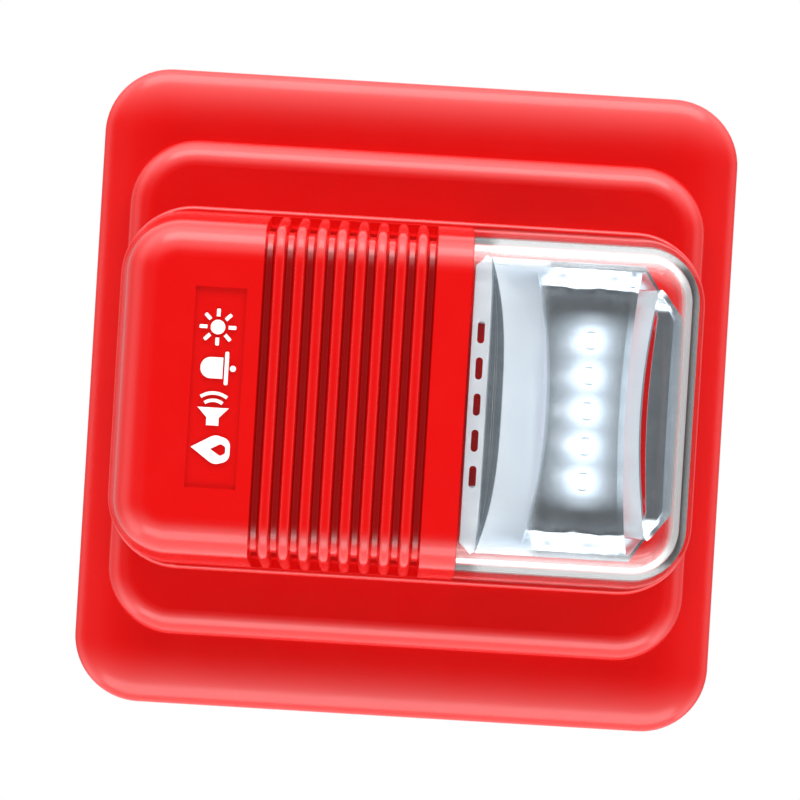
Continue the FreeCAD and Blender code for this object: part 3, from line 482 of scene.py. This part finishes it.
def make_finishes():
    """One finish for each material slot of the CAD parts, by its name."""
    return {
        "red_shell": red_plastic(),
        "white_ink": plastic("white_ink", (0.90, 0.89, 0.88), 0.45, grain=(3000, 0.000006)),
        "clear_lens": clear_plastic(),
        "mirror_coat": mirror_coat(),
        "light_board": plastic("light_board", (0.56, 0.58, 0.60), 0.35, grain=(1800, 0.000005)),
        "led_body": plastic("led_body", (0.90, 0.90, 0.88), 0.40),
        "black_plastic": plastic("black_plastic", (0.018, 0.018, 0.019), 0.42),
        "white_plastic": plastic("white_plastic", (0.82, 0.81, 0.78), 0.38),
        "foam": plastic("foam", (0.05, 0.05, 0.052), 0.95, grain=(2600, 0.00012), mottle=0.35),
        "brass": metal("brass", (0.80, 0.58, 0.28), 0.28, (1, 1, 0.15)),
        "piezo_ceramic": plastic("piezo_ceramic", (0.80, 0.76, 0.66), 0.55, grain=(2400, 0.00001)),
        "lead_sleeve": plastic("lead_sleeve", (0.62, 0.02, 0.015), 0.48),
        "steel": metal("steel", (0.62, 0.62, 0.61), 0.30),
        "board_green": circuit_board("board_green", (0.012, 0.13, 0.045), (0.03, 0.22, 0.08)),
        "can_sleeve": plastic("can_sleeve", (0.03, 0.035, 0.07), 0.30),
        "ferrite": plastic("ferrite", (0.045, 0.045, 0.048), 0.72, grain=(2200, 0.00002), mottle=0.2),
        "winding_tape": plastic("winding_tape", (0.72, 0.55, 0.12), 0.33, (1200, 0.00001), 0.1, (0.1, 1, 1)),
        "chip_body": plastic("chip_body", (0.022, 0.022, 0.024), 0.58, grain=(3500, 0.000008)),
        "switch_red": plastic("switch_red", (0.55, 0.02, 0.02), 0.40),
        "cover_grey": plastic("cover_grey", (0.40, 0.40, 0.39), 0.52, grain=(1300, 0.00002)),
        "plate_grey": plastic("plate_grey", (0.46, 0.46, 0.445), 0.50, grain=(1300, 0.00002)),
        "terminal_green": plastic("terminal_green", (0.016, 0.03, 0.02), 0.42),
    }


def finish_cad_nodes(finishes):
    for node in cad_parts.values():
        for slot in node.material_slots:
            slot.material = finishes[slot.material.name.split(".")[0]]


# The reflector ----------------------------------------------------------------------------------

# Millimetres. x runs across the bowl, y is the height from its middle, and depth is from the wall.
BOWL_TOP = 43.4                  # depth of the ridges round the bowl
BOWL_FLOOR = 27.7
BOWL_SKIN = 0.7
LENS_FLOOR = 22.6                # depth of the red floor that the legs stand on
BOWL_LEFT = 11.0
BOWL_RIGHT = 47.8
BOWL_HALF = 26.3
LEFT_CUT = (2.2, 1.5)            # width and height of the cut corners by the body
RIGHT_CUT = (6.4, 9.0)           # and of those on the right
END_WALL = (22.3, 25.3)          # height where an end wall leaves the floor and where it meets the rim
FLANGE_EDGE = 14.3               # x where the left flange ends, at mid height
FLANGE_BOW = 0.5                 # how far its edge bends back at the ends
FLANGE_LEAN = 0.4                # how far the left flange leans into the bowl
VALLEY = 2.0                     # depth of the hollow beside the left flange
RIDGE_LEFT = 17.1                # x of the ridge behind that hollow, at mid height
RIDGE_BOW = 2.9                  # how far its ends bend back towards the flange
RIDGE_REACH = 25.3               # half its length
RIDGE_RIGHT = 41.9               # x of the right ridge, at mid height
FLOOR_LEFT = 26.2                # x of the floor's edges, at mid height
FLOOR_RIGHT = 39.1
FLOOR_REACH = 24.0
FLOOR_SAG = 0.4
WALL_SLOPE = 0.84                # fall of the bowl's upper walls per millimetre
WALL_FOOT = (0.9, 0.35)          # width of the steep foot of the left and of the right wall
POCKET = 2.4                     # depth of the half-moon hollow on the right
SLOT_X = 12.6                    # the slots in the left flange
SLOT_HALF = (0.65, 2.0)
WINDOW_HALF = (1.6, 1.75)        # the windows for the lamps
OPENING = (0.35, 1.5, 19.0)      # the narrow opening: near and far side from the ridge, half height
LEGS = ((13.0, 41.8), (45.8, 40.7))    # x and top of the left and of the right legs
LEG_HEIGHT = 16.0
LEG_RADII = (1.0, 1.35)
LAMP_X = 33.2
LAMP_PITCH = 6.5


def left_edge(y):
    """The outer edge by the body, with its two small cut corners."""
    past_cut = max(0.0, abs(y) - (BOWL_HALF - LEFT_CUT[1]))
    return BOWL_LEFT + LEFT_CUT[0] * past_cut / LEFT_CUT[1]


def right_edge(y):
    """The outer edge, with its two cut corners."""
    past_cut = max(0.0, abs(y) - (BOWL_HALF - RIGHT_CUT[1]))
    return BOWL_RIGHT - RIGHT_CUT[0] * past_cut / RIGHT_CUT[1]


def flange_edge(y):
    return FLANGE_EDGE - FLANGE_BOW * abs(y / RIDGE_REACH) ** 3


def left_ridge(y):
    return RIDGE_LEFT - RIDGE_BOW * abs(y / RIDGE_REACH) ** 3


def right_ridge(y):
    return min(RIDGE_RIGHT + 2.1 * (y / 22.0) ** 2, right_edge(y) - 0.6)


def floor_left(y):
    return FLOOR_LEFT - 2.9 * (y / FLOOR_REACH) ** 2


def floor_right(y):
    return min(FLOOR_RIGHT + 1.3 * (y / FLOOR_REACH) ** 2, right_ridge(y) - 0.8)


def end_wall(x, y):
    """Depth of the curved, slightly rippled wall that closes the bowl at its top and bottom."""
    foot, rim = END_WALL
    ripple = 0.16 * math.sin(0.75 * x + y) + 0.09 * math.sin(1.9 * x - y)
    fade = max(0.0, 1 - abs(abs(y) - foot) / (rim - foot))
    reach = (abs(y) + ripple * fade - foot) / (rim - foot)
    reach = min(1.0, max(0.0, reach))
    return BOWL_FLOOR + (BOWL_TOP - BOWL_FLOOR) * (1 - math.sqrt(1 - reach * reach))


def soft_max(a, b, width=1.2):
    """The larger of two depths, with the crease between them rounded over the width."""
    gap = max(0.0, width - abs(a - b)) / width
    return max(a, b) + gap * gap * width / 4


def between(start, end, steps, dip=lambda t: 0.0):
    """Points from start up to, but not including, end: (x, depth) pairs, lowered by dip on the way."""
    points = []
    for i in range(steps):
        t = i / steps
        x = start[0] + (end[0] - start[0]) * t
        depth = start[1] + (end[1] - start[1]) * t
        points.append((x, depth - dip(t)))
    return points


def left_side(y):
    """The flange, the hollow beside it, the left ridge and the wide left wall."""
    edge = (left_edge(y), BOWL_TOP)
    flange = (flange_edge(y), BOWL_TOP - FLANGE_LEAN)
    ridge = (left_ridge(y), BOWL_TOP)
    foot = (floor_left(y), BOWL_FLOOR)
    wall_end = foot[0] - WALL_FOOT[0]
    bend = (wall_end, BOWL_TOP - WALL_SLOPE * (wall_end - ridge[0]))
    hollow = between(flange, ridge, 14, lambda t: VALLEY * math.sin(math.pi * t) ** 0.8)
    return between(edge, flange, 8) + hollow + between(ridge, bend, 16) + between(bend, foot, 6)


def right_side(y):
    """The right wall and its ridge, and the half-moon hollow up to the edge."""
    foot = (floor_right(y), BOWL_FLOOR)
    ridge = (right_ridge(y), BOWL_TOP)
    edge = (right_edge(y), BOWL_TOP)
    wall_end = foot[0] + WALL_FOOT[1]
    bend = (wall_end, BOWL_TOP - WALL_SLOPE * max(0.1, ridge[0] - wall_end))
    pocket = min(1.0, max(0.0, (edge[0] - ridge[0] - 0.6) / 2.4)) * POCKET

    def half_moon(t):
        return pocket * min(1.0, t / 0.24) * min(1.0, (1 - t) / 0.10 * 0.85 + 0.15)

    rim = (edge[0], BOWL_TOP - half_moon(1.0))
    return between(foot, bend, 6) + between(bend, ridge, 8) + between(ridge, edge, 24, half_moon) + [rim]


def cross_section(y):
    """The bowl's surface from left to right at height y, as (x, depth) points."""
    floor = between((floor_left(y), BOWL_FLOOR), (floor_right(y), BOWL_FLOOR), 26,
                    lambda t: FLOOR_SAG * math.sin(math.pi * t))
    return left_side(y) + floor + right_side(y)


def bowl_heights():
    """Heights of the bowl's rows: even along the trough and close together in the end walls."""
    foot, rim = END_WALL
    half = [foot * i / 32 for i in range(33)]
    half += [foot + (rim - foot) * math.sin(math.pi * i / 48) for i in range(1, 25)]
    half += [rim + (BOWL_HALF - rim) * i / 4 for i in range(1, 5)]
    return [-y for y in reversed(half[1:])] + half


def bowl_skin():
    """The bowl's surface as a mesh without thickness."""
    form = bmesh.new()
    rows = []
    for y in bowl_heights():
        inside = (left_ridge(y), right_ridge(y))
        row = []
        for x, depth in cross_section(y):
            if inside[0] < x < inside[1]:
                depth = min(BOWL_TOP, soft_max(depth, end_wall(x, y)))
            row.append(form.verts.new(place(x, y, depth)))
        rows.append(row)
    for lower, upper in zip(rows, rows[1:]):
        for i in range(len(lower) - 1):
            form.faces.new((lower[i], lower[i + 1], upper[i + 1], upper[i]))
    form.normal_update()
    mesh = bpy.data.meshes.new("bowl")
    form.to_mesh(mesh)
    form.free()
    return mesh


def bridge(form, near, far):
    """The faces between two rings of as many points."""
    count = len(near)
    for i in range(count):
        j = (i + 1) % count
        form.faces.new((near[i], near[j], far[j], far[i]))


def prism(form, outline, front, back):
    """A closed prism between two depths over an outline of (x, y) points."""
    near = [form.verts.new(place(x, y, front)) for x, y in outline]
    far = [form.verts.new(place(x, y, back)) for x, y in outline]
    form.faces.new(near)
    form.faces.new(far)
    bridge(form, near, far)


def stadium(x, y, half_width, half_height, steps=10):
    """The outline of an upright slot with round ends."""
    outline = []
    straight = half_height - half_width
    for side in (1, -1):
        for i in range(steps + 1):
            turn = math.pi * i / steps
            outline.append((x + side * half_width * math.cos(turn),
                            y + side * (straight + half_width * math.sin(turn))))
    return outline


def crescent(inner, outer, half_height, steps=24):
    """The outline of the narrow opening that follows the right ridge."""
    heights = [half_height * (2 * i / steps - 1) for i in range(steps + 1)]
    taper = [math.sqrt(max(0.0, 1 - (y / half_height) ** 2)) for y in heights]
    near = [(right_ridge(y) + inner, y) for y in heights]
    far = [(right_ridge(y) + inner + (outer - inner) * t ** 0.7, y) for y, t in zip(heights, taper)]
    return near + list(reversed(far))[1:-1]


def lamp_heights():
    """Heights of the five lamps, which are also those of the five slots."""
    return [LAMP_PITCH * (i - 2) for i in range(5)]


def mesh_object(name, form):
    """A new object with the shape in form, its faces turned outwards."""
    bmesh.ops.recalc_face_normals(form, faces=form.faces)
    mesh = bpy.data.meshes.new(name)
    form.to_mesh(mesh)
    form.free()
    piece = bpy.data.objects.new(name, mesh)
    bpy.context.scene.collection.objects.link(piece)
    return piece


def apply_modifiers(piece):
    """Bakes the piece's modifiers into its mesh."""
    bpy.context.view_layer.update()
    graph = bpy.context.evaluated_depsgraph_get()
    piece.data = bpy.data.meshes.new_from_object(piece.evaluated_get(graph))
    piece.modifiers.clear()


def cut_holes(piece):
    """Five slots in the left flange, a window for each lamp, and the opening by the right ridge."""
    form = bmesh.new()
    for y in lamp_heights():
        prism(form, stadium(SLOT_X, y, *SLOT_HALF), BOWL_TOP + 2, BOWL_TOP - 4)
    for y in lamp_heights():
        prism(form, stadium(LAMP_X, y, *WINDOW_HALF), BOWL_FLOOR + 3, BOWL_FLOOR - 3)
    prism(form, crescent(*OPENING), BOWL_TOP + 2, BOWL_TOP - 5)
    cutter = mesh_object("hole_cutter", form)
    modifier = piece.modifiers.new("holes", "BOOLEAN")
    modifier.operation = "DIFFERENCE"
    modifier.solver = "EXACT"
    modifier.object = cutter
    apply_modifiers(piece)
    bpy.data.objects.remove(cutter)


def add_legs(piece):
    """Four tapered legs that stand on the floor under the lens."""
    form = bmesh.new()
    form.from_mesh(piece.data)
    for x, top in LEGS:
        for y in (-LEG_HEIGHT, LEG_HEIGHT):
            middle = place(x, y, (LENS_FLOOR + top) / 2)
            turn = Matrix.Translation(middle) @ Matrix.Rotation(math.radians(90), 4, "X")
            bmesh.ops.create_cone(form, cap_ends=True, segments=32, radius1=LEG_RADII[0] * MM,
                                  radius2=LEG_RADII[1] * MM, depth=(top - LENS_FLOOR) * MM, matrix=turn)
    form.to_mesh(piece.data)
    form.free()


def smooth(piece, degrees):
    """Smooth shading, with edges sharper than the angle kept crisp."""
    for face in piece.data.polygons:
        face.use_smooth = True
    piece.data.set_sharp_from_angle(angle=math.radians(degrees))


def make_reflector(finish):
    """The detailed bowl, which stands for the plain one."""
    bowl = bpy.data.objects.new("bowl", bowl_skin())
    bpy.context.scene.collection.objects.link(bowl)
    shell = bowl.modifiers.new("skin", "SOLIDIFY")
    shell.thickness = BOWL_SKIN * MM
    shell.offset = -1.0
    apply_modifiers(bowl)
    cut_holes(bowl)
    add_legs(bowl)
    smooth(bowl, 38)
    bowl.data.materials.clear()
    bowl.data.materials.append(finish)
    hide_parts("reflector")
    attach(bowl, "head")


# The lamps --------------------------------------------------------------------------------------

LAMP_HALF = (1.75, 1.4)          # half width and half height of a package
LAMP_BACK = 26.1
LAMP_FRONT = 27.2
CUP = ((1.28, 0.12), (1.20, 0.16), (0.95, 0.45))    # radius and depth under the front, inwards
FACE_RADIUS = 1.17
FACE_RISE = (0.20, 0.02)         # how far under the front the lit face starts and ends


def ring_of(form, x, y, radius, depth, steps=40):
    """A circle of new points round (x, y)."""
    turns = [math.tau * i / steps for i in range(steps)]
    return [form.verts.new(place(x + radius * math.cos(turn), y + radius * math.sin(turn), depth))
            for turn in turns]


def rounded_ring(form, x, y, half_x, half_y, depth, steps=40):
    """A rounded rectangle with as many points as a ring, each in the same direction from the middle."""
    points = []
    for i in range(steps):
        turn = math.tau * i / steps
        c, s = math.cos(turn), math.sin(turn)
        reach = (abs(c / half_x) ** 12 + abs(s / half_y) ** 12) ** (-1 / 12)
        points.append(form.verts.new(place(x + reach * c, y + reach * s, depth)))
    return points


def lamp_body(form, y):
    """A white package with bevelled edges and a round cup."""
    half_x, half_y = LAMP_HALF
    levels = [rounded_ring(form, LAMP_X, y, half_x, half_y, LAMP_BACK),
              rounded_ring(form, LAMP_X, y, half_x, half_y, LAMP_FRONT - 0.25),
              rounded_ring(form, LAMP_X, y, half_x - 0.08, half_y - 0.08, LAMP_FRONT - 0.12)]
    levels += [ring_of(form, LAMP_X, y, radius, LAMP_FRONT - sunk) for radius, sunk in CUP]
    for near, far in zip(levels, levels[1:]):
        bridge(form, near, far)
    form.faces.new(levels[0])
    form.faces.new(levels[-1])


def lamp_face(form, y):
    """The domed phosphor in the cup."""
    start, end = FACE_RISE
    levels = []
    for i in range(7):
        turn = math.pi / 2 * i / 7
        depth = LAMP_FRONT - start + (start - end) * math.sin(turn)
        levels.append(ring_of(form, LAMP_X, y, FACE_RADIUS * math.cos(turn), depth))
    for near, far in zip(levels, levels[1:]):
        bridge(form, near, far)
    top = form.verts.new(place(LAMP_X, y, LAMP_FRONT - end))
    last = levels[-1]
    for i in range(len(last)):
        form.faces.new((last[i], last[(i + 1) % len(last)], top))


def make_lamps(body_finish):
    """The packages and their lit faces, which stand for the plain lamps."""
    bodies, faces = bmesh.new(), bmesh.new()
    for y in lamp_heights():
        lamp_body(bodies, y)
        lamp_face(faces, y)
    packages = mesh_object("lamp_packages", bodies)
    packages.data.materials.append(body_finish)
    lit = mesh_object("lamp_faces", faces)
    lit.data.materials.append(lit_phosphor())
    for piece in (packages, lit):
        smooth(piece, 40)
        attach(piece, "head")
        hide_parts("leds")


# The scene --------------------------------------------------------------------------------------

add_camera()
add_studio()
add_softbox("softbox_above", (0, -0.30, 0.62), 2.5)
add_softbox("softbox_below", (0, -0.30, -0.50), 1.8)
add_floor()
finishes = make_finishes()
finish_cad_nodes(finishes)
make_reflector(finishes["mirror_coat"])
make_lamps(finishes["led_body"])
bpy.context.scene.view_settings.view_transform = "Standard"
